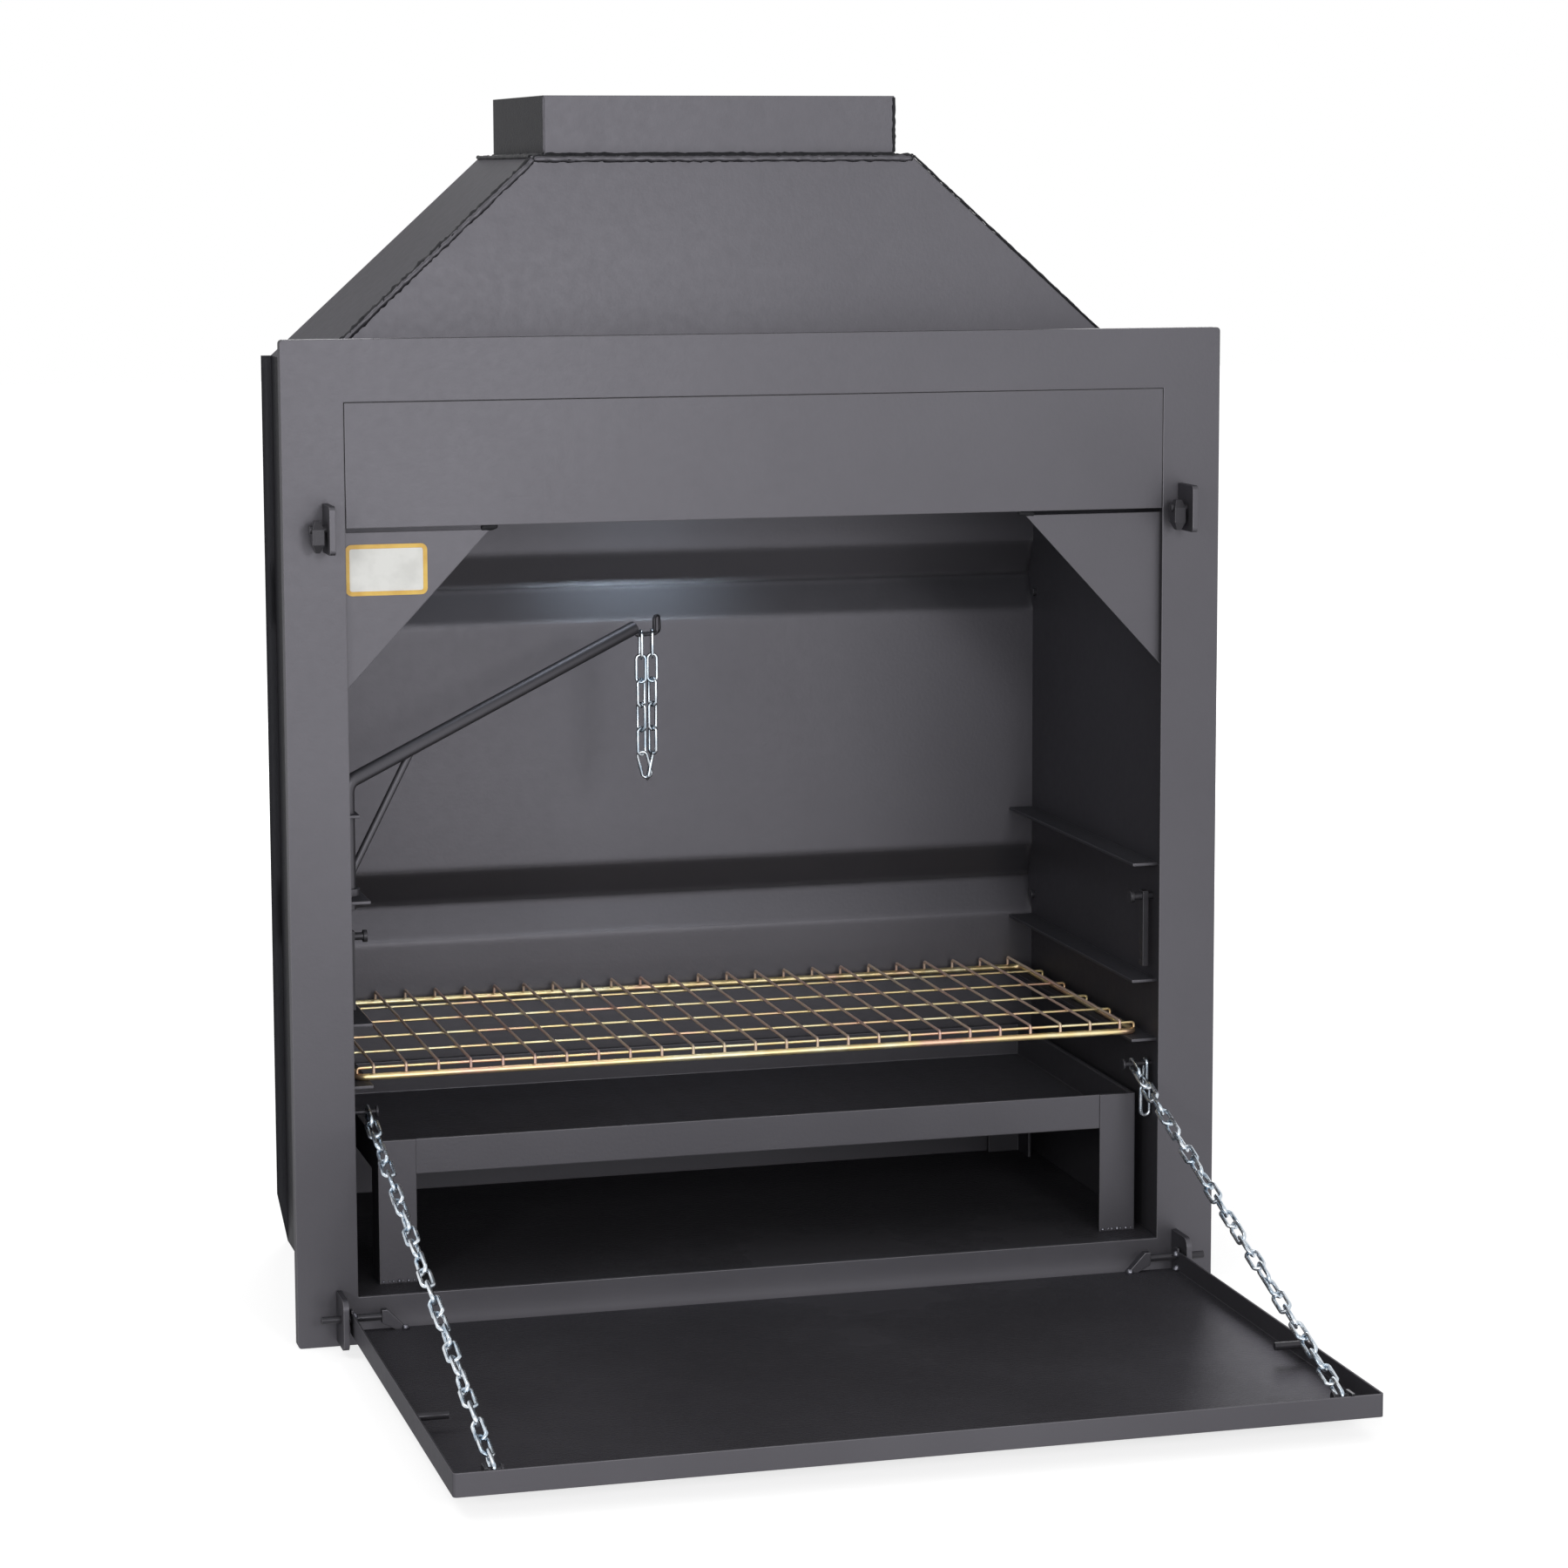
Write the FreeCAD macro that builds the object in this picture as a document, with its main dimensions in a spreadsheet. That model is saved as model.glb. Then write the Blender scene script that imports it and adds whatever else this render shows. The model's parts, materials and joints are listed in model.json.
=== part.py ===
import FreeCAD, Part
import math
import os
import re

import Sketcher

Vector = FreeCAD.Vector
doc = FreeCAD.newDocument("BuiltInBarbecue")

# Driving sizes in millimetres and degrees
sizes = {
    "frame_width": 1000,
    "frame_height": 1034,
    "frame_fold": 15,
    "frame_corner": 4,
    "border": 63,
    "sill": 50,
    "plate": 3,
    "sheet": 2,
    "groove": 0.8,
    "running_gap": 0.05,
    "loose_gap": 0.3,
    "header_drop": 127,
    "header_fold": 22,
    "gusset_width": 155,
    "gusset_drop": 166,
    "gusset_setback": 10,
    "gusset_gap": 5,
    "badge_width": 84,
    "badge_height": 52,
    "wall_gap": 5,
    "body_depth": 444,
    "frame_above": 34,
    "rear_flange": 11,
    "flange_taper": 55,
    "rib_depth": 16,
    "rib_half": 40,
    "lower_rib": 376,
    "upper_rib": 733,
    "base_beam_width": 80,
    "hood_setback": 138,
    "hood_lean": 21,
    "hood_rise": 216,
    "hood_top_width": 418,
    "collar_ledge": 15,
    "collar_height": 63,
    "rail_width": 28,
    "rail_setback": 20,
    "upper_rail": 459.5,
    "middle_rail": 332,
    "lower_rail": 267,
    "grid_side_gap": 12,
    "grid_setback": 42,
    "grid_rear_gap": 6,
    "grid_rod": 7,
    "grid_wire": 3,
    "grid_lift": 5.7,
    "pan_side_gap": 25.25,
    "pan_setback": 44,
    "pan_rear_gap": 6,
    "pan_shift": 10,
    "pan_height": 152,
    "pan_rim": 37,
    "pan_leg": 40,
    "door_inset": 50,
    "door_length": 561,
    "door_gap": 25,
    "door_low": 20.5,
    "door_lip": 22.5,
    "door_corner": 4,
    "hinge_reach": 28,
    "hinge_height": 36,
    "hinge_rod": 8,
    "hinge_boss": 10,
    "ear_reach": 47,
    "ear_low": 6,
    "ear_high": 59,
    "ear_thick": 6,
    "ear_gap": 4,
    "rod_overhang": 20,
    "lug_set": 32,
    "lug_thick": 6,
    "door_rod": 8,
    "door_rod_long": 31,
    "door_rod_reach": 390,
    "door_rod_height": 38,
    "catch_low": 821,
    "catch_high": 870,
    "catch_reach": 45,
    "catch_pin": 8,
    "catch_pin_long": 23.5,
    "catch_pin_reach": 25,
    "catch_pin_height": 846,
    "pawl_thick": 12,
    "pawl_width": 17,
    "pawl_long": 32,
    "chain_pin": 5,
    "chain_pin_setback": 33,
    "chain_pin_height": 237,
    "chain_set": 23,
    "chain_step": 8.2,
    "chain_eye_set": 11,
    "chain_eye_height": 40,
    "link_wire": 4,
    "link_width": 14,
    "spare_set": 7.4,
    "latch_pin": 8,
    "latch_pin_long": 22,
    "latch_pin_setback": 36,
    "latch_pin_height": 421,
    "latch_set": 6.5,
    "latch_thick": 6,
    "latch_width": 12,
    "latch_long": 76,
    "latch_reach": 66,
    "latch_notch": 5,
    "arm_rod": 15,
    "arm_set": 12,
    "arm_setback": 60,
    "arm_foot": 445,
    "arm_bend_height": 577,
    "arm_reach": 388,
    "arm_rise": 131,
    "arm_angle": 27,
    "arm_bend": 14,
    "brace_rod": 8,
    "brace_reach": 85,
    "brace_foot": 477,
    "bracket_drop": 32,
    "hook_wire": 5,
    "hook_drop": 8,
    "hook_rise": 18,
    "hook_long": 30,
    "pot_link_wire": 3.5,
    "pot_link_width": 13,
    "pot_link_pitch": 30,
}
rail_levels = {"upper": "upper_rail", "middle": "middle_rail", "lower": "lower_rail"}
grid_rows = 5
grid_bars = 25
upper_turns = [0, 75, 150, 225, 315]
lower_turns = [0, 90] * 8 + [0]
pot_turns = [0, 90, 0, 90, 0]
spare_turns = [0, 90]
sides = {"left": -1, "right": 1}

sheet = doc.addObject("Spreadsheet::Sheet", "Sizes")
for row, (alias, number) in enumerate(sizes.items(), start=1):
    sheet.set("A%d" % row, alias)
    sheet.set("B%d" % row, str(number))
    sheet.setAlias("B%d" % row, alias)
doc.recompute()

nodes = []


# Expressions are written with the bare alias names
def bound(text):
    def full(word):
        return "Sizes." + word.group() if word.group() in sizes else word.group()

    return re.sub(r"[a-z_]+", full, text)


def value(text):
    return float(sheet.evalExpression(bound(text)))


def node(label, item):
    item.Label = label
    nodes.append(item)
    return item


def across(sign, low, high):
    if sign > 0:
        return low, high
    return "-(%s)" % high, "-(%s)" % low


def box(name, x, y, z):
    item = doc.addObject("Part::Box", name)
    for size, axis, (low, high) in zip(("Length", "Width", "Height"), "xyz", (x, y, z)):
        item.setExpression(size, bound("(%s) - (%s)" % (high, low)))
        item.setExpression("Placement.Base." + axis, bound(low))
    return item


def rod_along_x(name, x, y, z, radius):
    item = doc.addObject("Part::Cylinder", name)
    item.Placement = FreeCAD.Placement(Vector(), FreeCAD.Rotation(Vector(0, 1, 0), 90))
    item.setExpression("Radius", bound(radius))
    item.setExpression("Height", bound("(%s) - (%s)" % (x[1], x[0])))
    for axis, text in zip("xyz", (x[0], y, z)):
        item.setExpression("Placement.Base." + axis, bound(text))
    return item


def rod_along_z(name, x, y, z, radius):
    item = doc.addObject("Part::Cylinder", name)
    item.setExpression("Radius", bound(radius))
    item.setExpression("Height", bound("(%s) - (%s)" % (z[1], z[0])))
    for axis, text in zip("xyz", (x, y, z[0])):
        item.setExpression("Placement.Base." + axis, bound(text))
    return item


def fuse(name, *pieces):
    item = doc.addObject("Part::MultiFuse", name)
    item.Shapes = list(pieces)
    item.Refine = True
    return item


def cut(name, base, tool):
    item = doc.addObject("Part::Cut", name)
    item.Base = base
    item.Tool = tool
    return item


def common(name, base, tool):
    item = doc.addObject("Part::Common", name)
    item.Base = base
    item.Tool = tool
    return item


def group(name, *pieces):
    item = doc.addObject("Part::Compound", name)
    item.Links = list(pieces)
    return item


def feature(name, shape):
    item = doc.addObject("Part::Feature", name)
    item.Shape = shape
    return item


# Sketches on the origin planes of a body, every corner bound to the sheet
def sketch_on(body, name, plane, offset):
    sketch = body.newObject("Sketcher::SketchObject", name)
    support = [item for item in body.Origin.OriginFeatures if item.Role == plane + "_Plane"][0]
    sketch.AttachmentSupport = [(support, "")]
    sketch.MapMode = "FlatFace"
    sketch.setExpression("AttachmentOffset.Base.z", bound(offset))
    return sketch


def hold(sketch, geometry, point, place):
    for kind, text in zip(("DistanceX", "DistanceY"), place):
        number = sketch.addConstraint(Sketcher.Constraint(kind, -1, 1, geometry, point, value(text)))
        sketch.setExpression("Constraints[%d]" % number, bound(text))


def outline(sketch, corners):
    spots = [Vector(value(u), value(v), 0) for u, v in corners]
    count = len(spots)
    for index in range(count):
        sketch.addGeometry(Part.LineSegment(spots[index], spots[(index + 1) % count]))
    for index, corner in enumerate(corners):
        sketch.addConstraint(Sketcher.Constraint("Coincident", index, 2, (index + 1) % count, 1))
        hold(sketch, index, 1, corner)


def pad(name, plane, corners, span):
    body = doc.addObject("PartDesign::Body", name)
    start = "-(%s)" % span[1] if plane == "XZ" else span[0]
    sketch = sketch_on(body, name + "_outline", plane, start)
    outline(sketch, corners)
    solid = body.newObject("PartDesign::Pad", name + "_pad")
    solid.Profile = sketch
    solid.setExpression("Length", bound("(%s) - (%s)" % (span[1], span[0])))
    sketch.Visibility = False
    doc.recompute()
    return body


def pocket_start(plane, span):
    return "-(%s)" % span[0] if plane == "XZ" else span[1]


def pocket(body, name, plane, corners, span):
    sketch = sketch_on(body, name + "_outline", plane, pocket_start(plane, span))
    outline(sketch, corners)
    hollow = body.newObject("PartDesign::Pocket", name)
    hollow.Profile = sketch
    hollow.setExpression("Length", bound("(%s) - (%s)" % (span[1], span[0])))
    sketch.Visibility = False
    doc.recompute()


def bore(body, name, plane, centre, radius, span):
    sketch = sketch_on(body, name + "_circle", plane, pocket_start(plane, span))
    spot = Vector(value(centre[0]), value(centre[1]), 0)
    sketch.addGeometry(Part.Circle(spot, Vector(0, 0, 1), value(radius)))
    hold(sketch, 0, 3, centre)
    number = sketch.addConstraint(Sketcher.Constraint("Radius", 0, value(radius)))
    sketch.setExpression("Constraints[%d]" % number, bound(radius))
    hollow = body.newObject("PartDesign::Pocket", name)
    hollow.Profile = sketch
    hollow.setExpression("Length", bound("(%s) - (%s)" % (span[1], span[0])))
    sketch.Visibility = False
    doc.recompute()


def round_edges(body, name, direction, radius, chosen):
    base = body.Tip
    edges = []
    for number, edge in enumerate(base.Shape.Edges, start=1):
        along = edge.tangentAt(edge.FirstParameter)
        if abs(along.dot(direction)) > 0.99 and chosen(edge.CenterOfMass):
            edges.append("Edge%d" % number)
    rounding = body.newObject("PartDesign::Fillet", name)
    rounding.Base = (base, edges)
    rounding.setExpression("Radius", bound(radius))
    doc.recompute()


def rectangle(u_low, v_low, u_high, v_high):
    return [(u_low, v_low), (u_high, v_low), (u_high, v_high), (u_low, v_high)]


# Planes that many pieces share
front = "(-body_depth / 2)"
behind = "(-body_depth / 2 + plate)"
rear = "(body_depth / 2 - sheet)"
opening = "(frame_width / 2 - border)"
wall = "(frame_width / 2 - border + wall_gap)"
wall_outside = "(frame_width / 2 - border + wall_gap + sheet)"
opening_top = "(frame_height - border)"
body_top = "(frame_height - frame_above)"
header_low = "(frame_height - border - header_drop)"
door_half = "(frame_width / 2 - door_inset)"
door_rear = "(-body_depth / 2 - door_gap)"
door_front = "(-body_depth / 2 - door_gap - door_length)"
door_floor = "(door_low + sheet)"
hinge_y = "(-body_depth / 2 - hinge_reach)"

# Front frame with folded outer edges
half_width = "frame_width / 2"
fold_rear = front + " + frame_fold"
frame_face = rectangle("-" + half_width, "0", half_width, "frame_height")
frame = pad("front_frame", "XZ", frame_face, (front, fold_rear))
round_edges(frame, "frame_corners", Vector(0, 1, 0), "frame_corner", lambda centre: True)
inside = half_width + " - plate"
frame_back = rectangle("-(%s)" % inside, "plate", inside, "frame_height - plate")
pocket(frame, "frame_hollow", "XZ", frame_back, (behind, fold_rear))
frame_mouth = rectangle("-" + opening, "sill", opening, opening_top)
pocket(frame, "frame_opening", "XZ", frame_mouth, (front, fold_rear))
node("front_frame", frame)

# Header panel, flush with the frame and rebated behind it
face_half = opening + " - groove"
header_face = box("header_face", ("-(%s)" % face_half, face_half), (front, behind),
                  (header_low, opening_top + " - groove"))
header_backing = box("header_backing", ("-" + wall, wall), (behind, behind + " + sheet"),
                     (header_low, opening_top + " + border / 4"))
header_return = box("header_return", ("-(%s)" % face_half, face_half), (front, front + " + header_fold"),
                    (header_low, header_low + " + sheet"))
node("header_panel", fuse("header_panel", header_face, header_backing, header_return))

# Corner gussets under the header
gusset_front = front + " + gusset_setback"
gusset_top = header_low + " - gusset_gap"
for side, sign in sides.items():
    flip = "-" if sign < 0 else ""
    corners = [
        (flip + wall, gusset_top),
        ("%s(%s - gusset_width)" % (flip, wall), gusset_top),
        (flip + wall, gusset_top + " - gusset_drop"),
    ]
    node(side + "_gusset", pad(side + "_gusset", "XZ", corners, (gusset_front, gusset_front + " + sheet")))

# Blank name plate on the left gusset
badge_left = "-%s + groove" % opening
badge_top = header_low + " - badge_height / 3"
badge = pad("name_plate", "XZ",
            rectangle(badge_left, badge_top + " - badge_height", badge_left + " + badge_width", badge_top),
            (gusset_front + " - sheet / 2", gusset_front))
round_edges(badge, "name_plate_corners", Vector(0, 1, 0), "badge_height / 8", lambda centre: True)
node("name_plate", badge)

# Side walls and back panel share the pressed ribs
rib_line = [(rear, "0")]
for rib in ("lower_rib", "upper_rib"):
    rib_line.append((rear, rib + " - rib_half"))
    rib_line.append((rear + " + rib_depth", rib))
    rib_line.append((rear, rib + " + rib_half"))
rib_line.append((rear, body_top))
wall_corners = rib_line + [(behind, body_top), (behind, "plate"), (fold_rear, "plate"), (fold_rear, "0")]
for side, sign in sides.items():
    node(side + "_wall", pad(side + "_wall", "YZ", wall_corners, across(sign, wall, wall_outside)))

outer_line = [(y + " + sheet", z) for y, z in reversed(rib_line)]
flange_edge = "(%s + rear_flange)" % wall_outside
back_pieces = [pad("back_sheet", "YZ", rib_line + outer_line, ("-" + wall_outside, wall_outside))]
for side, sign in sides.items():
    flip = "-" if sign < 0 else ""
    corners = [
        (flip + wall_outside, "0"),
        (flip + flange_edge, "flange_taper"),
        (flip + flange_edge, body_top),
        (flip + wall_outside, body_top),
    ]
    back_pieces.append(pad(side + "_flange", "XZ", corners, (rear, rear + " + sheet")))
node("back_panel", fuse("back_panel", *back_pieces))

# Floor, its beam and the cover behind the top of the frame
node("floor_panel", box("floor_panel", ("-" + wall, wall), (behind, rear), ("sill - sheet", "sill")))
beam_half = "base_beam_width / 2"
beam_web = box("beam_web", ("-" + wall, wall), ("-" + beam_half, beam_half), ("0", "sheet"))
beam_flanges = [
    box("beam_front", ("-" + wall, wall), ("-" + beam_half, "-%s + sheet" % beam_half),
        ("0", "sill - sheet")),
    box("beam_rear", ("-" + wall, wall), (beam_half + " - sheet", beam_half), ("0", "sill - sheet")),
]
node("base_beam", fuse("base_beam", beam_web, *beam_flanges))
hood_front_y = front + " + hood_setback"
node("top_cover", box("top_cover", ("-" + wall, wall), (behind, hood_front_y + " + 3 * sheet"),
                      (body_top + " - sheet", body_top)))

# Hood of four mitred sheets, its top plate and the flue collar
low = value(body_top)
high = value(body_top + " + hood_rise - sheet")
hood_back_y = value("body_depth / 2")
wide_low = value(wall_outside)
wide_high = value("hood_top_width / 2")
front_low = value(hood_front_y)
front_high = value(hood_front_y + " + hood_lean")
thick = value("sheet")
side_thick = thick * math.hypot(1, (wide_low - wide_high) / (high - low))
front_thick = thick * math.hypot(1, (front_high - front_low) / (high - low))


def hood_corners(height, wide, front_edge):
    outer = [(-wide, front_edge), (wide, front_edge), (wide, hood_back_y), (-wide, hood_back_y)]
    near, far = front_edge + front_thick, hood_back_y - thick
    narrow = wide - side_thick
    inner = [(-narrow, near), (narrow, near), (narrow, far), (-narrow, far)]
    return [Vector(x, y, height) for x, y in outer], [Vector(x, y, height) for x, y in inner]


def block(bottom, top):
    faces = [Part.Face(Part.makePolygon(bottom + bottom[:1])), Part.Face(Part.makePolygon(top + top[:1]))]
    for index in range(4):
        after = (index + 1) % 4
        ring = [bottom[index], bottom[after], top[after], top[index], bottom[index]]
        faces.append(Part.Face(Part.makePolygon(ring)))
    return Part.makeSolid(Part.makeShell(faces))


outer_low, inner_low = hood_corners(low, wide_low, front_low)
outer_high, inner_high = hood_corners(high, wide_high, front_high)
for index, label in enumerate(("hood_front", "hood_right", "hood_back", "hood_left")):
    after = (index + 1) % 4
    bottom = [outer_low[index], outer_low[after], inner_low[after], inner_low[index]]
    top = [outer_high[index], outer_high[after], inner_high[after], inner_high[index]]
    node(label, feature(label, block(bottom, top)))

collar_half = "(hood_top_width / 2 - collar_ledge - sheet)"
collar_front = "(%s + hood_lean + collar_ledge)" % hood_front_y
collar_rear = "(body_depth / 2 - 2 * sheet)"
hood_top = "(%s + hood_rise)" % body_top
collar_top = hood_top + " + collar_height"
flue_x = ("-%s + sheet" % collar_half, collar_half + " - sheet")
flue_y = (collar_front + " + sheet", collar_rear + " - sheet")
top_blank = box("top_blank", ("-hood_top_width / 2", "hood_top_width / 2"),
                (hood_front_y + " + hood_lean", "body_depth / 2"), (hood_top + " - sheet", hood_top))
flue_hole = box("flue_hole", flue_x, flue_y, (hood_top + " - 2 * sheet", collar_top + " + sheet"))
node("hood_top_plate", cut("hood_top_plate", top_blank, flue_hole))
collar_blank = box("collar_blank", ("-" + collar_half, collar_half), (collar_front, collar_rear),
                   (hood_top, collar_top))
node("flue_collar", cut("flue_collar", collar_blank, flue_hole))

# Grid rails, the upper left one bored for the pot arm
arm_x = "(-%s + arm_set)" % wall
arm_y = "(%s + arm_setback)" % front
for side, sign in sides.items():
    for level, height in rail_levels.items():
        name = "%s_%s_rail" % (side, level)
        bar = box(name + "_bar", across(sign, wall + " - rail_width", wall),
                  (front + " + rail_setback", rear), (height + " - plate", height))
        if side == "left" and level == "upper":
            arm_hole = rod_along_z("arm_hole", arm_x, arm_y, (height + " - 2 * plate", height + " + plate"),
                                   "arm_rod / 2 + running_gap")
            bar = cut(name, bar, arm_hole)
        node(name, bar)


# Round bars swept along bent paths
def bent_path(points, bend):
    edges = []
    start = points[0]
    for before, corner, after in zip(points, points[1:], points[2:]):
        inward = (before - corner).normalize()
        outward = (after - corner).normalize()
        half = inward.getAngle(outward) / 2
        middle_way = (inward + outward).normalize()
        first = corner + inward * (bend / math.tan(half))
        last = corner + outward * (bend / math.tan(half))
        middle = corner + middle_way * (bend / math.sin(half) - bend)
        edges.append(Part.LineSegment(start, first).toShape())
        edges.append(Part.Arc(first, middle, last).toShape())
        start = last
    edges.append(Part.LineSegment(start, points[-1]).toShape())
    return Part.Wire(edges)


def bent_bar(points, bend, radius):
    ring = Part.Wire(Part.Circle(points[0], points[1] - points[0], radius).toShape())
    return bent_path(points, bend).makePipeShell([ring], True, True)


# Cooking grid on the lower rails
rod_radius = value("grid_rod / 2")
wire_radius = value("grid_wire / 2")
rod_z = value("lower_rail + loose_gap + grid_rod / 2")
rod_top = value("lower_rail + loose_gap + grid_rod")
long_z = rod_top + value("grid_lift")
cross_z = long_z + 2 * wire_radius
grid_x = value(wall + " - grid_side_gap - grid_rod / 2")
grid_front = value(front + " + grid_setback + grid_rod / 2")
grid_rear = value(rear + " - grid_rear_gap - grid_rod / 2")
halves = []
for sign in (-1, 1):
    ring = [(0, grid_front), (sign * grid_x, grid_front), (sign * grid_x, grid_rear), (0, grid_rear)]
    halves.append(bent_bar([Vector(x, y, rod_z) for x, y in ring], 3 * rod_radius, rod_radius))
node("grid_frame", feature("grid_frame", halves[0].fuse(halves[1]).removeSplitter()))

first_row = grid_front + 2 * wire_radius
row_pitch = (grid_rear - first_row) / grid_rows
long_wires = []
for row in range(grid_rows):
    y = first_row + row * row_pitch
    path = [(-grid_x, rod_top), (-grid_x, long_z), (grid_x, long_z), (grid_x, rod_top)]
    long_wires.append(bent_bar([Vector(x, y, z) for x, z in path], 2 * wire_radius, wire_radius))
node("grid_long_wires", feature("grid_long_wires", Part.makeCompound(long_wires)))

bar_pitch = 2 * grid_x / grid_bars
cross_wires = []
for bar in range(grid_bars):
    x = -grid_x + (bar + 0.5) * bar_pitch
    path = [(grid_front, rod_top), (grid_front, cross_z), (grid_rear, cross_z), (grid_rear, rod_top)]
    cross_wires.append(bent_bar([Vector(x, y, z) for y, z in path], 2 * wire_radius, wire_radius))
node("grid_cross_wires", feature("grid_cross_wires", Part.makeCompound(cross_wires)))

# Loose fire pan, a tray held in a frame of angle legs and beams
pan_left = "(pan_shift + pan_side_gap - %s)" % wall
pan_right = "(pan_shift - pan_side_gap + %s)" % wall
pan_front = "(%s + pan_setback)" % front
pan_rear = "(%s - pan_rear_gap)" % rear
pan_top = "(sill + pan_height)"
rim_low = "(sill + pan_height - pan_rim)"
tray_x = (pan_left + " + plate", pan_right + " - plate")
tray_y = (pan_front + " + plate", pan_rear + " - plate")
tray_block = box("tray_block", tray_x, tray_y, (rim_low, pan_top))
tray_hollow = box("tray_hollow", (tray_x[0] + " + sheet", tray_x[1] + " - sheet"),
                  (tray_y[0] + " + sheet", tray_y[1] + " - sheet"),
                  (rim_low + " + sheet", pan_top + " + sheet"))
node("fire_tray", cut("fire_tray", tray_block, tray_hollow))

between_x = (pan_left + " + pan_leg", pan_right + " - pan_leg")
between_y = (pan_front + " + pan_leg", pan_rear + " - pan_leg")
rim = (rim_low, pan_top)
beam_y = (pan_front + " + sheet / 2", pan_front + " + plate")
node("pan_cross_beams", group("pan_cross_beams",
                              box("pan_front_beam", between_x, beam_y, rim),
                              box("pan_rear_beam", between_x, (pan_rear + " - plate", pan_rear), rim)))
node("pan_side_beams", group("pan_side_beams",
                             box("pan_left_beam", (pan_left, pan_left + " + plate"), between_y, rim),
                             box("pan_right_beam", (pan_right + " - plate", pan_right), between_y, rim)))


def from_edge(edge, sign, length):
    if sign > 0:
        return edge, "%s + %s" % (edge, length)
    return "%s - %s" % (edge, length), edge


tall = ("sill", pan_top)
for side, x_edge, x_sign in (("left", pan_left, 1), ("right", pan_right, -1)):
    for end, y_edge, y_sign in (("front", pan_front, 1), ("rear", pan_rear, -1)):
        name = "pan_%s_%s_leg" % (end, side)
        flats = [
            box(name + "_broad", from_edge(x_edge, x_sign, "pan_leg"), from_edge(y_edge, y_sign, "plate"),
                tall),
            box(name + "_deep", from_edge(x_edge, x_sign, "plate"), from_edge(y_edge, y_sign, "pan_leg"),
                tall),
        ]
        node(name, fuse(name, *flats))

# Door tray with a lip on three sides and hinge bosses on the lips
lip_inside = door_half + " - sheet"
lip_top = "(door_low + door_lip)"
tray_plan = rectangle("-" + door_half, door_front, door_half, door_rear)
tray = pad("door_tray", "XY", tray_plan, ("door_low", lip_top))
door_middle = value(door_front + " / 2 + %s / 2" % door_rear)
round_edges(tray, "door_corners", Vector(0, 0, 1), "door_corner", lambda centre: centre.y < door_middle)
pocket(tray, "door_hollow", "XY",
       rectangle("-(%s)" % lip_inside, door_front + " + sheet", lip_inside, door_rear), (door_floor, lip_top))
boss_z = ("hinge_height - hinge_boss", "hinge_height + hinge_boss")
door_pieces = [tray]
for side, sign in sides.items():
    lip_x = across(sign, lip_inside, door_half)
    door_pieces.append(box(side + "_boss_arm", lip_x, (door_rear + " - hinge_boss", hinge_y), boss_z))
    door_pieces.append(rod_along_x(side + "_boss", lip_x, hinge_y, "hinge_height", "hinge_boss"))
door_blank = fuse("door_blank", *door_pieces)
hinge_line = ("-(%s + plate)" % door_half, door_half + " + plate")
hinge_bore = rod_along_x("hinge_bore", hinge_line, hinge_y, "hinge_height", "hinge_rod / 2")
node("door_panel", cut("door_panel", door_blank, hinge_bore))

# Hinge rods, inner lugs on the door and ears on the frame
lug_outside = "(%s - lug_set)" % door_half
ear_x = door_half + " + ear_gap"
rod_end = ear_x + " + ear_thick + rod_overhang"
rods, lugs, ears = [], [], []
for side, sign in sides.items():
    rods.append(rod_along_x(side + "_hinge_rod", across(sign, lug_outside, rod_end), hinge_y, "hinge_height",
                            "hinge_rod / 2"))
    flip = "-" if sign < 0 else ""
    corners = [
        (flip + lug_outside, "hinge_height + 0.75 * hinge_boss"),
        (flip + lug_outside, "hinge_height - 0.6 * hinge_boss"),
        ("%s(%s - 1.4 * hinge_boss)" % (flip, lug_outside), door_floor),
        ("%s(%s - 2.6 * hinge_boss)" % (flip, lug_outside), door_floor),
        ("%s(%s - lug_thick)" % (flip, lug_outside), "hinge_height + 0.75 * hinge_boss"),
    ]
    lug_y = (hinge_y + " - hinge_boss / 2", hinge_y + " + hinge_boss / 2")
    lugs.append(pad(side + "_lug", "XZ", corners, lug_y))
    name = side + "_ear"
    span = across(sign, ear_x, ear_x + " + ear_thick")
    ear = pad(name, "YZ", rectangle(front + " - ear_reach", "ear_low", front, "ear_high"), span)
    middle = value(front + " - ear_reach / 2")
    round_edges(ear, name + "_corners", Vector(1, 0, 0), "hinge_boss", lambda centre: centre.y < middle)
    bore(ear, name + "_bore", "YZ", (hinge_y, "hinge_height"), "hinge_rod / 2 + running_gap", span)
    ears.append(ear)
node("hinge_rods", group("hinge_rods", *rods))
node("door_lugs", group("door_lugs", *lugs))
node("hinge_ears", group("hinge_ears", *ears))

# Short rods on the door lips that the latch bars drop over
short_rods = []
for side, sign in sides.items():
    short_rods.append(rod_along_x(side + "_door_rod",
                                  across(sign, lip_inside + " - door_rod_long", lip_inside),
                                  front + " - door_rod_reach", "door_rod_height", "door_rod / 2"))
node("door_rods", group("door_rods", *short_rods))

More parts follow.
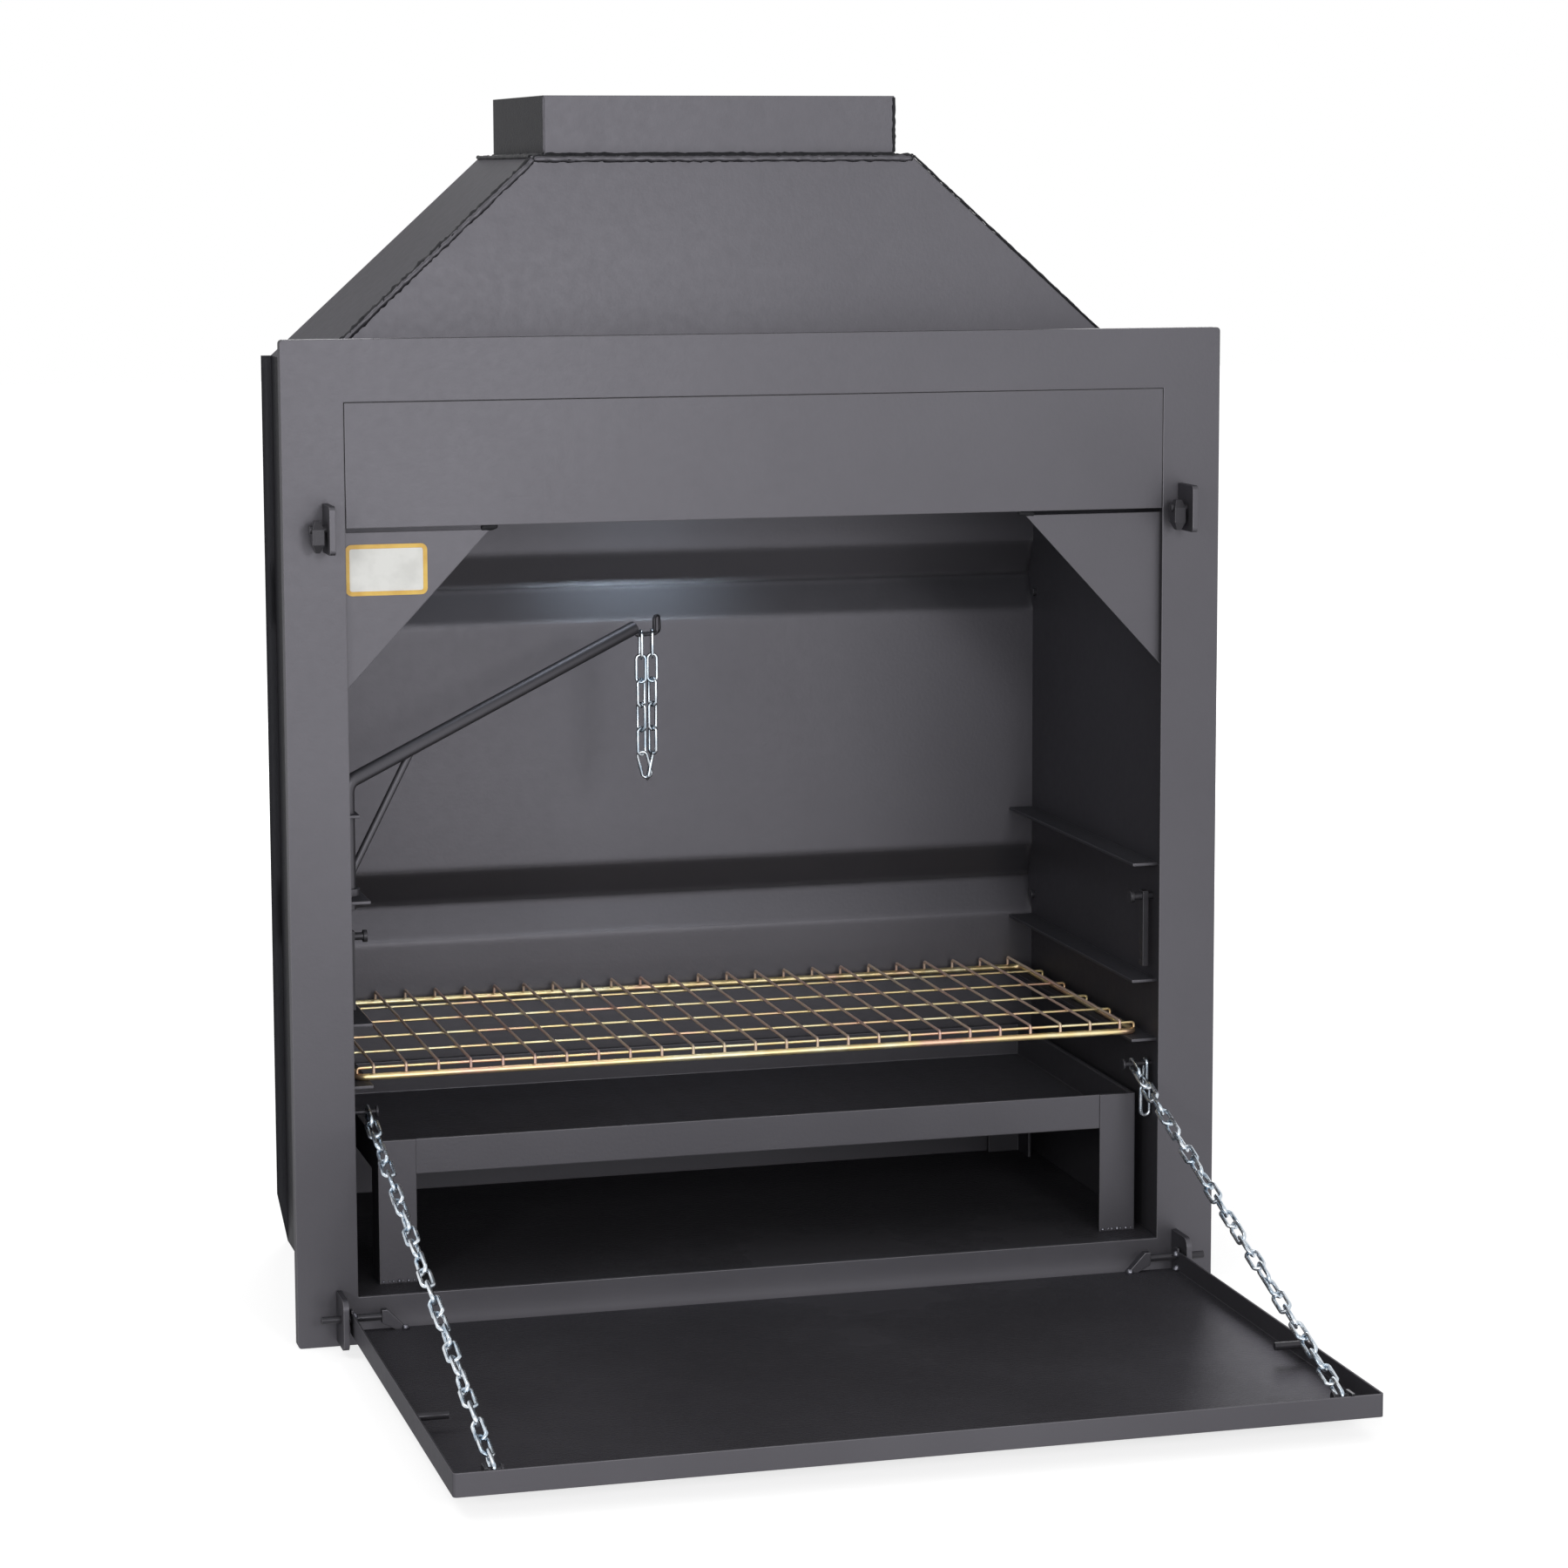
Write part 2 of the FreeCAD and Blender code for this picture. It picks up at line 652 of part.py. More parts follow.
# Upper catch plates, their pins and the drop pawls
catch_y = front + " - catch_pin_reach"
plates, pins = [], []
for side, sign in sides.items():
    plate_x = across(sign, ear_x, ear_x + " + ear_thick")
    name = side + "_catch"
    catch = pad(name, "YZ", rectangle(front + " - catch_reach", "catch_low", front, "catch_high"), plate_x)
    middle = value(front + " - catch_reach / 2")
    round_edges(catch, name + "_corners", Vector(1, 0, 0), "hinge_boss / 2", lambda centre: centre.y < middle)
    bore(catch, name + "_bore", "YZ", (catch_y, "catch_pin_height"), "catch_pin / 2", plate_x)
    plates.append(catch)
    pin_x = (plate_x[1] + " - catch_pin_long", plate_x[1] + " + sheet")
    pins.append(rod_along_x(name + "_pin", pin_x, catch_y, "catch_pin_height", "catch_pin / 2"))
    pawl_x = (pin_x[0] + " + sheet", pin_x[0] + " + sheet + pawl_thick")
    half = "pawl_width / 2"
    pawl_top = "(catch_pin_height + pawl_width / 2)"
    pawl_low = pawl_top + " - pawl_long"
    from_side = [
        (catch_y + " - pawl_width / 4", pawl_top),
        (catch_y + " - " + half, pawl_top + " - pawl_width / 2"),
        (catch_y + " - " + half, pawl_low + " + pawl_width / 2"),
        (catch_y + " - pawl_width / 4", pawl_low),
        (catch_y + " + pawl_width / 4", pawl_low),
        (catch_y + " + " + half, pawl_low + " + pawl_width / 2"),
        (catch_y + " + " + half, pawl_top + " - pawl_width / 2"),
        (catch_y + " + pawl_width / 4", pawl_top),
    ]
    from_front = [
        (pawl_x[0] + " + pawl_thick / 4", pawl_top),
        (pawl_x[0], pawl_top + " - pawl_width / 2"),
        (pawl_x[0], pawl_low + " + pawl_width / 2"),
        (pawl_x[0] + " + pawl_thick / 3", pawl_low),
        (pawl_x[1] + " - pawl_thick / 3", pawl_low),
        (pawl_x[1], pawl_low + " + pawl_width / 2"),
        (pawl_x[1], pawl_top + " - pawl_width / 2"),
        (pawl_x[1] + " - pawl_thick / 4", pawl_top),
    ]
    pawl_y = (catch_y + " - " + half, catch_y + " + " + half)
    pawl_blank = common(side + "_pawl_blank", pad(side + "_pawl_side", "YZ", from_side, pawl_x),
                        pad(side + "_pawl_face", "XZ", from_front, pawl_y))
    pawl_bore = rod_along_x(side + "_pawl_bore", (pawl_x[0] + " - sheet", pawl_x[1] + " + sheet"), catch_y,
                            "catch_pin_height", "catch_pin / 2 + running_gap")
    node(side + "_pawl", cut(side + "_pawl", pawl_blank, pawl_bore))
node("catch_plates", group("catch_plates", *plates))
node("catch_pins", group("catch_pins", *pins))

# Latch pins on the walls and the latch bars that hang from them
latch_y = front + " + latch_pin_setback"
latch_pins = []
for side, sign in sides.items():
    shank_end = wall + " - latch_pin_long"
    shank = rod_along_x(side + "_latch_shank", across(sign, shank_end, wall), latch_y, "latch_pin_height",
                        "latch_pin / 2")
    head = rod_along_x(side + "_latch_head", across(sign, shank_end + " - latch_pin / 2", shank_end), latch_y,
                       "latch_pin_height", "0.8 * latch_pin")
    latch_pins.append(fuse(side + "_latch_pin", shank, head))
    bar_x = across(sign, wall + " - latch_set - latch_thick", wall + " - latch_set")
    half = "latch_width / 2"
    slot = "(door_rod + 4 * loose_gap)"
    slot_top = "(latch_pin_height - latch_reach + %s / 2)" % slot
    notch_y = "%s + %s - latch_notch - 2 * loose_gap" % (latch_y, half)
    corners = [
        (latch_y + " - " + half, "latch_pin_height + " + half),
        (latch_y + " - " + half, "latch_pin_height + %s - latch_long - %s" % (half, half)),
        (latch_y + " + " + half, "latch_pin_height + %s - latch_long - %s" % (half, half)),
        (latch_y + " + " + half, slot_top + " - " + slot),
        (notch_y, slot_top + " - " + slot),
        (notch_y, slot_top),
        (latch_y + " + " + half, slot_top),
        (latch_y + " + " + half, "latch_pin_height + " + half),
    ]
    latch = pad(side + "_latch_bar", "YZ", corners, bar_x)
    bore(latch, side + "_latch_bore", "YZ", (latch_y, "latch_pin_height"), "latch_pin / 2 + running_gap",
         bar_x)
    node(side + "_latch_bar", latch)
node("latch_pins", group("latch_pins", *latch_pins))


# Chain links, two flanks and two half rings
def chain_link(pitch, width, wire):
    radius = wire / 2
    arc = (width - wire) / 2
    half = pitch / 2 + radius - arc
    pieces = []
    for sign in (-1, 1):
        pieces.append(Part.makeCylinder(radius, 2 * half, Vector(-half, sign * arc, 0), Vector(1, 0, 0)))
        end = Part.makeTorus(arc, radius, Vector(), Vector(0, 0, 1), 0, 360, 180)
        turn = FreeCAD.Rotation(Vector(0, 0, 1), -90 * sign)
        end.Placement = FreeCAD.Placement(Vector(sign * half, 0, 0), turn)
        pieces.append(end)
    return pieces[0].multiFuse(pieces[1:]).removeSplitter()


# A run of links from a pin, each turned about the run from square to the pin
def chain_run(start, direction, pin_direction, pin_radius, pitch, width, wire, turns):
    along = Vector(direction).normalize()
    pattern = chain_link(pitch, width, wire)
    links = []
    for index, degrees in enumerate(turns):
        normal = FreeCAD.Rotation(along, degrees).multVec(Vector(pin_direction).normalize())
        turn = FreeCAD.Rotation(along, normal.cross(along), normal, "XYZ")
        link = pattern.copy()
        reach = pitch / 2 - pin_radius - value("loose_gap") + index * pitch
        link.Placement = FreeCAD.Placement(start + along * reach, turn)
        links.append(link)
    return links


# Door chains, an upper and a lower run on each side
pin_radius = value("chain_pin / 2")
link_width = value("link_width")
link_wire = value("link_wire")
chain_plane = wall + " - chain_set"
pin_y = front + " + chain_pin_setback"
eye_y = "(%s + sheet + chain_eye_set)" % door_front
pin_spot = Vector(0, value(pin_y), value("chain_pin_height"))
eye_spot = Vector(0, value(eye_y), value("chain_eye_height"))
link_count = len(upper_turns) + len(lower_turns)
pitch = ((pin_spot - eye_spot).Length + 2 * pin_radius + 2 * value("loose_gap")) / link_count
pin_end = chain_plane + " - link_width / 2 - sheet"
chain_pins, chain_eyes = [], []
for side, sign in sides.items():
    upper_start = pin_spot + Vector(sign * value(chain_plane), 0, 0)
    turns = [-sign * degrees for degrees in upper_turns]
    upper_run = chain_run(upper_start, eye_spot - pin_spot, Vector(1, 0, 0), pin_radius, pitch,
                          link_width, link_wire, turns)
    node(side + "_chain_upper", feature(side + "_chain_upper", Part.makeCompound(upper_run)))
    lower_plane = chain_plane + " - chain_step"
    lower_start = eye_spot + Vector(sign * value(lower_plane), 0, 0)
    lower_run = chain_run(lower_start, pin_spot - eye_spot, Vector(1, 0, 0), pin_radius, pitch,
                          link_width, link_wire, lower_turns)
    node(side + "_chain_lower", feature(side + "_chain_lower", Part.makeCompound(lower_run)))

    shank = rod_along_x(side + "_chain_shank", across(sign, pin_end, wall), pin_y, "chain_pin_height",
                        "chain_pin / 2")
    head = rod_along_x(side + "_chain_head", across(sign, pin_end + " - sheet", pin_end), pin_y,
                       "chain_pin_height", "1.2 * chain_pin")
    chain_pins.append(fuse(side + "_chain_pin", shank, head))

    post_x = lower_plane + " + link_width / 2"
    eye_end = lower_plane + " - link_width / 2"
    post = box(side + "_eye_post", across(sign, post_x, post_x + " + plate"),
               (door_front + " + sheet", eye_y + " + chain_pin"),
               (door_floor, "chain_eye_height + chain_pin"))
    bar = rod_along_x(side + "_eye_bar", across(sign, eye_end, post_x), eye_y, "chain_eye_height",
                      "chain_pin / 2")
    cap = rod_along_x(side + "_eye_cap", across(sign, eye_end + " - sheet", eye_end), eye_y,
                      "chain_eye_height", "chain_pin")
    chain_eyes.append(fuse(side + "_chain_eye", post, bar, cap))
node("chain_pins", group("chain_pins", *chain_pins))
node("chain_eyes", group("chain_eyes", *chain_eyes))

# Spare links left hanging on the right chain pin
spare_start = pin_spot + Vector(value(wall + " - spare_set"), 0, 0)
spare_links = chain_run(spare_start, Vector(0, 0, -1), Vector(1, 0, 0), pin_radius, pitch, link_width,
                        link_wire, spare_turns)
node("spare_links", feature("spare_links", Part.makeCompound(spare_links)))

# Pot arm on its upright, with brace, collar and hook
arm_radius = value("arm_rod / 2")
swing = math.radians(value("arm_angle"))
outward = Vector(math.cos(swing), math.sin(swing), 0)
pivot = Vector(value(arm_x), value(arm_y), 0)
bend_spot = pivot + Vector(0, 0, value("arm_bend_height"))
tip_spot = bend_spot + outward * value("arm_reach") + Vector(0, 0, value("arm_rise"))
foot_spot = pivot + Vector(0, 0, value("arm_foot"))
arm_shape = bent_bar([foot_spot, bend_spot, tip_spot], value("arm_bend"), arm_radius)
node("pot_arm", feature("pot_arm", arm_shape))

slope = value("arm_rise / arm_reach")
brace_low = pivot + Vector(0, 0, value("brace_foot"))
brace_high = bend_spot + outward * value("brace_reach") + Vector(0, 0, slope * value("brace_reach"))
brace_way = brace_high - brace_low
brace_shape = Part.makeCylinder(value("brace_rod / 2"), brace_way.Length, brace_low, brace_way).cut(arm_shape)
brace_middle = brace_low + brace_way * 0.5
brace_solid = min(brace_shape.Solids, key=lambda solid: solid.CenterOfMass.distanceToPoint(brace_middle))
node("arm_brace", feature("arm_brace", brace_solid))

collar_z = ("upper_rail + loose_gap", "upper_rail + loose_gap + arm_rod / 2")
collar_ring = rod_along_z("collar_ring", arm_x, arm_y, collar_z, "arm_set - 2 * running_gap - loose_gap")
collar_bore = rod_along_z("collar_bore", arm_x, arm_y, ("upper_rail", "upper_rail + arm_rod"), "arm_rod / 2")
node("arm_collar", cut("arm_collar", collar_ring, collar_bore))

bracket_top = "(arm_bend_height - bracket_drop)"
bracket_z = (bracket_top + " - plate", bracket_top)
bracket_bar = box("bracket_bar", ("-" + wall, "-%s + arm_set + arm_rod / 2 + plate" % wall),
                  (arm_y + " - arm_rod", arm_y + " + arm_rod"), bracket_z)
bracket_bore = rod_along_z("bracket_bore", arm_x, arm_y,
                           (bracket_top + " - 2 * plate", bracket_top + " + plate"),
                           "arm_rod / 2 + running_gap")
node("arm_bracket", cut("arm_bracket", bracket_bar, bracket_bore))

hook_radius = value("hook_wire / 2")
hook_top = tip_spot + outward * hook_radius
hook_corner = hook_top + Vector(0, 0, -value("hook_drop"))
hook_far = hook_corner + outward * value("hook_long")
hook_end = hook_far + Vector(0, 0, value("hook_rise"))
hook_points = [hook_top, hook_corner, hook_far, hook_end]
hook_shape = bent_bar(hook_points, hook_radius * 1.6, hook_radius).cut(arm_shape)
hook_solid = max(hook_shape.Solids, key=lambda solid: solid.Volume)
node("pot_hook", feature("pot_hook", hook_solid))

# Pot chain, two strands on the hook joined by a link at the bottom
strand_gap = value("pot_link_width / 2 + loose_gap")
hook_middle = hook_corner + outward * value("hook_long / 2")
pot_pitch = value("pot_link_pitch")
pot_width = value("pot_link_width")
pot_wire = value("pot_link_wire")
pot_chain = []
for sign in (-1, 1):
    strand_start = hook_middle + outward * (sign * strand_gap)
    pot_chain += chain_run(strand_start, Vector(0, 0, -1), outward, hook_radius, pot_pitch, pot_width,
                           pot_wire, pot_turns)
joining_pitch = 2 * strand_gap + 2 * pot_wire
joining_link = chain_link(joining_pitch, pot_width, pot_wire)
low_end = len(pot_turns) * pot_pitch - hook_radius - value("loose_gap") - pot_wire / 2 - value("loose_gap")
joining_spot = hook_middle + Vector(0, 0, -low_end - (pot_width - pot_wire) / 2)
joining_turn = FreeCAD.Rotation(outward, Vector(0, 0, -1), outward.cross(Vector(0, 0, -1)), "XYZ")
joining_link.Placement = FreeCAD.Placement(joining_spot, joining_turn)
pot_chain.append(joining_link)
node("pot_chain", feature("pot_chain", Part.makeCompound(pot_chain)))

# Bolt heads at the rib ends
bolts = []
for side, sign in sides.items():
    for rib in ("lower_rib", "upper_rib"):
        bolts.append(rod_along_x("%s_%s_bolt" % (side, rib), across(sign, wall + " - 2 * sheet", wall),
                                 rear + " - rib_depth / 2", rib + " - rib_half / 2", "2.5 * sheet"))
node("back_bolts", group("back_bolts", *bolts))

# Check every piece, then write the files
doc.recompute()
for item in doc.Objects:
    if "Invalid" in item.State or "Error" in item.State:
        raise RuntimeError("%s is in state %s" % (item.Label, item.State))
os.makedirs("parts", exist_ok=True)
for item in nodes:
    if item.Shape.isNull() or not item.Shape.isValid():
        raise RuntimeError("%s has no valid shape" % item.Label)
    item.Shape.exportStep("parts/%s.step" % item.Label)
print(len(nodes), "pieces written")
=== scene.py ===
import json
import math

import bpy
from mathutils import Matrix, Vector


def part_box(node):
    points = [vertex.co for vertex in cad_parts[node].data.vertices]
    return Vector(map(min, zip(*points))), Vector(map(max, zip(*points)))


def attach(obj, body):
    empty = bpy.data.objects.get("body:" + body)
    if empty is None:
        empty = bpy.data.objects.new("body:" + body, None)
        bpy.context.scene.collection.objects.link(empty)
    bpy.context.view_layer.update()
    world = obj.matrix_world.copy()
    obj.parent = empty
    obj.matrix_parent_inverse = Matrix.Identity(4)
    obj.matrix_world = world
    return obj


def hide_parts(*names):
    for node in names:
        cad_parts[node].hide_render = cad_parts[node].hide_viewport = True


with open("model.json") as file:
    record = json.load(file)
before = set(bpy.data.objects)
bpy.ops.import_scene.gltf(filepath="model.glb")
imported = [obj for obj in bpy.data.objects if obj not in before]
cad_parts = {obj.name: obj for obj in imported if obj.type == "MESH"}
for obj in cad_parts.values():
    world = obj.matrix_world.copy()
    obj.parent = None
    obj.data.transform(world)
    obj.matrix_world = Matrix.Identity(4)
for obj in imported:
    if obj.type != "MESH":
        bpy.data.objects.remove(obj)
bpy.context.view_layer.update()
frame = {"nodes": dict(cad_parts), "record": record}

scene = bpy.context.scene
scene.view_settings.view_transform = "Standard"


# materials

def startMaterial(name):
    material = bpy.data.materials.new(name)
    material.use_nodes = True
    tree = material.node_tree
    return material, tree, tree.nodes["Principled BSDF"]


def addNode(tree, kind, **values):
    node = tree.nodes.new(kind)
    for name, value in values.items():
        node.inputs[name.replace("_", " ")].default_value = value
    return node


def addNoise(tree, coords, scale, detail=3.0, roughness=0.55):
    noise = addNode(tree, "ShaderNodeTexNoise", Scale=scale, Detail=detail, Roughness=roughness)
    tree.links.new(coords, noise.inputs["Vector"])
    return noise.outputs["Fac"]


def addRamp(tree, factor, stops):
    ramp = tree.nodes.new("ShaderNodeValToRGB")
    while len(ramp.color_ramp.elements) < len(stops):
        ramp.color_ramp.elements.new(0.5)
    for element, (place, colour) in zip(ramp.color_ramp.elements, stops):
        element.position = place
        element.color = (*colour, 1)
    tree.links.new(factor, ramp.inputs["Fac"])
    return ramp.outputs["Color"]


def addRange(tree, factor, low, high, fromLow=0.3, fromHigh=0.7):
    span = addNode(tree, "ShaderNodeMapRange", From_Min=fromLow, From_Max=fromHigh,
                   To_Min=low, To_Max=high)
    tree.links.new(factor, span.inputs["Value"])
    return span.outputs["Result"]


def addBump(tree, height, strength, distance, normal=None):
    bump = addNode(tree, "ShaderNodeBump", Strength=strength, Distance=distance)
    tree.links.new(height, bump.inputs["Height"])
    if normal:
        tree.links.new(normal, bump.inputs["Normal"])
    return bump.outputs["Normal"]


def addEdges(tree, radius, low, high):
    soft = addNode(tree, "ShaderNodeBevel", Radius=radius)   # rounds the sheet edges in the shading
    soft.samples = 6
    face = tree.nodes.new("ShaderNodeNewGeometry")
    turn = tree.nodes.new("ShaderNodeVectorMath")
    turn.operation = "DOT_PRODUCT"
    tree.links.new(soft.outputs["Normal"], turn.inputs[0])
    tree.links.new(face.outputs["Normal"], turn.inputs[1])
    # the second value is the mask for the painted edge highlight
    return soft.outputs["Normal"], addRange(tree, turn.outputs["Value"], 1.0, 0.0, low, high)


def mixColours(tree, factor, first, second):
    mix = tree.nodes.new("ShaderNodeMix")
    mix.data_type = "RGBA"
    tree.links.new(factor, mix.inputs[0])
    for socket, colour in ((mix.inputs[6], first), (mix.inputs[7], second)):
        if isinstance(colour, tuple):
            socket.default_value = (*colour, 1)
        else:
            tree.links.new(colour, socket)
    return mix.outputs[2]


def addOutside(tree, coords, border, blend=0.0002):
    split = tree.nodes.new("ShaderNodeSeparateXYZ")
    tree.links.new(coords, split.inputs[0])
    reach = tree.nodes.new("ShaderNodeMath")
    reach.operation = "ABSOLUTE"
    tree.links.new(split.outputs["X"], reach.inputs[0])
    return addRange(tree, reach.outputs[0], 0.0, 1.0, border, border + blend)


charcoalPaint = {
    "dark": (0.094, 0.091, 0.102),
    "light": (0.112, 0.109, 0.122),
    # painted highlight: the lighter colour the sheet edges take, standing in for light caught by rounded
    # edges
    "edgeHighlight": (0.2, 0.195, 0.21),
    "roughness": (0.43, 0.47),
    "metallic": 0.7,
    "edgeTint": (0.2, 0.2, 0.21),
    "toneScale": 2.2,
    "roughScale": 90,
    "peelScale": 260,
    "peelStrength": 0.16,
    "peelDepth": 0.0006,
    "grainScale": 1500,
    "grainStrength": 0.1,
    "grainDepth": 0.0003,
    "edgeRadius": 0.0014,
    "paintedShade": None,
    "paintedShadeFrom": 1.0,
}


def makePaint(name, look):
    material, tree, shader = startMaterial(name)
    coords = tree.nodes.new("ShaderNodeTexCoord").outputs["Object"]
    softNormal, edge = addEdges(tree, look["edgeRadius"], 0.8, 0.985)
    cloud = addNoise(tree, coords, look["toneScale"], 6.0)
    tone = addRamp(tree, cloud, ((0.3, look["dark"]), (0.7, look["light"])))
    # painted highlight: the edge colour mixed in where the rounded shading normal turns away from the face
    colour = mixColours(tree, edge, tone, look["edgeHighlight"])
    # painted shade: faces farther out than the given reach from the middle take a darker colour
    if look["paintedShade"]:
        outside = addOutside(tree, coords, look["paintedShadeFrom"])
        colour = mixColours(tree, outside, colour, look["paintedShade"])
    tree.links.new(colour, shader.inputs["Base Color"])
    rough = addRange(tree, addNoise(tree, coords, look["roughScale"], 4.0), *look["roughness"])
    tree.links.new(rough, shader.inputs["Roughness"])
    shader.inputs["Metallic"].default_value = look["metallic"]
    shader.inputs["Specular Tint"].default_value = (*look["edgeTint"], 1)   # less gloss at grazing angles
    peelNoise = addNoise(tree, coords, look["peelScale"], 2.0)
    peel = addBump(tree, peelNoise, look["peelStrength"], look["peelDepth"], softNormal)
    grainNoise = addNoise(tree, coords, look["grainScale"], 2.0)
    grain = addBump(tree, grainNoise, look["grainStrength"], look["grainDepth"], peel)
    tree.links.new(grain, shader.inputs["Normal"])
    return material


paint = makePaint("charcoalPaint", charcoalPaint)

wallPaint = {**charcoalPaint, "paintedShade": (0.04, 0.04, 0.045), "paintedShadeFrom": 0.443}   # painted shade, the outer faces darker than the lit paint
sideSheet = makePaint("wallPaint", wallPaint)

collarPaint = {**charcoalPaint, "paintedShade": (0.05, 0.05, 0.055), "paintedShadeFrom": 0.1915}   # painted shade on its sides only
collarSheet = makePaint("collarPaint", collarPaint)

pressedPaint = {**wallPaint, "metallic": 0.85, "edgeRadius": 0.012}   # the rolled ribs of the back sheet, with the painted edge highlight spread over the rib bends
pressed = makePaint("pressedPaint", pressedPaint)

hardwarePaint = {
    **charcoalPaint,
    "dark": (0.035, 0.034, 0.039),
    "light": (0.058, 0.056, 0.062),
    "edgeHighlight": (0.15, 0.15, 0.16),
    "roughness": (0.3, 0.42),
    "metallic": 0.4,
    "edgeTint": (0.4, 0.4, 0.42),
    "peelScale": 420,
    "grainScale": 1800,
    "edgeRadius": 0.0009,
}
hardware = makePaint("hardwarePaint", hardwarePaint)

weldPaint = {**charcoalPaint, "roughness": (0.36, 0.5), "peelScale": 520}
weld = makePaint("weldPaint", weldPaint)

creaseShadePaint = {   # painted shade: the dark line on either side of a weld, where the crease lies in shade
    **hardwarePaint,
    "dark": (0.012, 0.012, 0.014),
    "light": (0.022, 0.022, 0.025),
    "roughness": (0.6, 0.75),
    "metallic": 0.0,
}
creaseShade = makePaint("creaseShadePaint", creaseShadePaint)

spatterPaint = {
    **hardwarePaint,
    "dark": (0.1, 0.1, 0.12),
    "light": (0.22, 0.22, 0.25),
    "metallic": 0.8,
}
spatter = makePaint("spatterPaint", spatterPaint)

brightZinc = {
    "pale": (0.7, 0.74, 0.78),
    "blue": (0.36, 0.45, 0.54),
    "toneScale": 60,
    "roughness": (0.2, 0.38),
    "roughScale": 180,
    "grainScale": 700,
    "grainStrength": 0.12,
    "grainDepth": 0.0003,
}


def makeZinc(name, look):
    material, tree, shader = startMaterial(name)
    coords = tree.nodes.new("ShaderNodeTexCoord").outputs["Object"]
    cloud = addNoise(tree, coords, look["toneScale"], 4.0)
    tone = addRamp(tree, cloud, ((0.32, look["blue"]), (0.6, look["pale"])))
    tree.links.new(tone, shader.inputs["Base Color"])
    rough = addRange(tree, addNoise(tree, coords, look["roughScale"]), *look["roughness"])
    tree.links.new(rough, shader.inputs["Roughness"])
    shader.inputs["Metallic"].default_value = 1.0
    grainNoise = addNoise(tree, coords, look["grainScale"])
    grain = addBump(tree, grainNoise, look["grainStrength"], look["grainDepth"])
    tree.links.new(grain, shader.inputs["Normal"])
    return material


zinc = makeZinc("brightZinc", brightZinc)

yellowZinc = {
    "pink": (0.78, 0.5, 0.36),
    "gold": (0.8, 0.64, 0.33),
    "straw": (0.82, 0.75, 0.5),
    "toneScale": 14,
    "roughness": (0.32, 0.46),
    "roughScale": 120,
    "grainScale": 900,
    "grainStrength": 0.1,
    "grainDepth": 0.0002,
    "metallic": 0.92,
}
pinkZinc = {
    **yellowZinc,
    "pink": (0.66, 0.43, 0.37),
    "gold": (0.7, 0.5, 0.4),
    "straw": (0.74, 0.6, 0.44),
    "roughness": (0.36, 0.5),
    "metallic": 0.45,
}


def makeGridZinc(name, look):
    material, tree, shader = startMaterial(name)
    coords = tree.nodes.new("ShaderNodeTexCoord").outputs["Object"]
    cloud = addNoise(tree, coords, look["toneScale"], 5.0)
    tone = addRamp(tree, cloud, ((0.34, look["pink"]), (0.48, look["gold"]), (0.64, look["straw"])))
    tree.links.new(tone, shader.inputs["Base Color"])
    rough = addRange(tree, addNoise(tree, coords, look["roughScale"]), *look["roughness"])
    tree.links.new(rough, shader.inputs["Roughness"])
    shader.inputs["Metallic"].default_value = look["metallic"]
    grainNoise = addNoise(tree, coords, look["grainScale"])
    grain = addBump(tree, grainNoise, look["grainStrength"], look["grainDepth"])
    tree.links.new(grain, shader.inputs["Normal"])
    return material


gridZinc = makeGridZinc("yellowZinc", yellowZinc)
crossZinc = makeGridZinc("pinkZinc", pinkZinc)

plateEnamel = {
    "light": (0.84, 0.84, 0.81),
    "dark": (0.74, 0.74, 0.71),
    "toneScale": 40,
    "roughness": (0.3, 0.42),
    "roughScale": 90,
    "grainScale": 800,
    "grainStrength": 0.05,
    "grainDepth": 0.0002,
}
rimEnamel = {
    **plateEnamel,
    "light": (0.85, 0.55, 0.1),
    "dark": (0.72, 0.42, 0.06),
}


def makeEnamel(name, look):
    material, tree, shader = startMaterial(name)
    coords = tree.nodes.new("ShaderNodeTexCoord").outputs["Object"]
    cloud = addNoise(tree, coords, look["toneScale"])
    tone = addRamp(tree, cloud, ((0.35, look["dark"]), (0.6, look["light"])))
    tree.links.new(tone, shader.inputs["Base Color"])
    rough = addRange(tree, addNoise(tree, coords, look["roughScale"]), *look["roughness"])
    tree.links.new(rough, shader.inputs["Roughness"])
    grainNoise = addNoise(tree, coords, look["grainScale"])
    grain = addBump(tree, grainNoise, look["grainStrength"], look["grainDepth"])
    tree.links.new(grain, shader.inputs["Normal"])
    return material


enamel = makeEnamel("plateEnamel", plateEnamel)
rimYellow = makeEnamel("rimEnamel", rimEnamel)

finishes = {
    "charcoal_paint": paint,
    "dark_hardware": hardware,
    "zinc_chain": zinc,
    "plated_grid": gridZinc,
    "plate_white": enamel,
}
ownFinishes = {"back_panel": pressed, "left_wall": sideSheet, "right_wall": sideSheet,
               "flue_collar": collarSheet, "grid_cross_wires": crossZinc}
for part in frame["record"]["subparts"]:
    solid = frame["nodes"][part["node"]]
    solid.data.materials.clear()
    solid.data.materials.append(ownFinishes.get(part["node"], finishes[part["material_slot"]]))


# pieces

def pickEdges(piece, test):
    bpy.ops.object.mode_set(mode="OBJECT")
    scene.tool_settings.mesh_select_mode = (False, True, False)
    points = piece.data.vertices
    for item in [*points, *piece.data.polygons]:
        item.select = False
    for edge in piece.data.edges:
        edge.select = test(points[edge.vertices[0]].co, points[edge.vertices[1]].co)
    bpy.ops.object.mode_set(mode="EDIT")


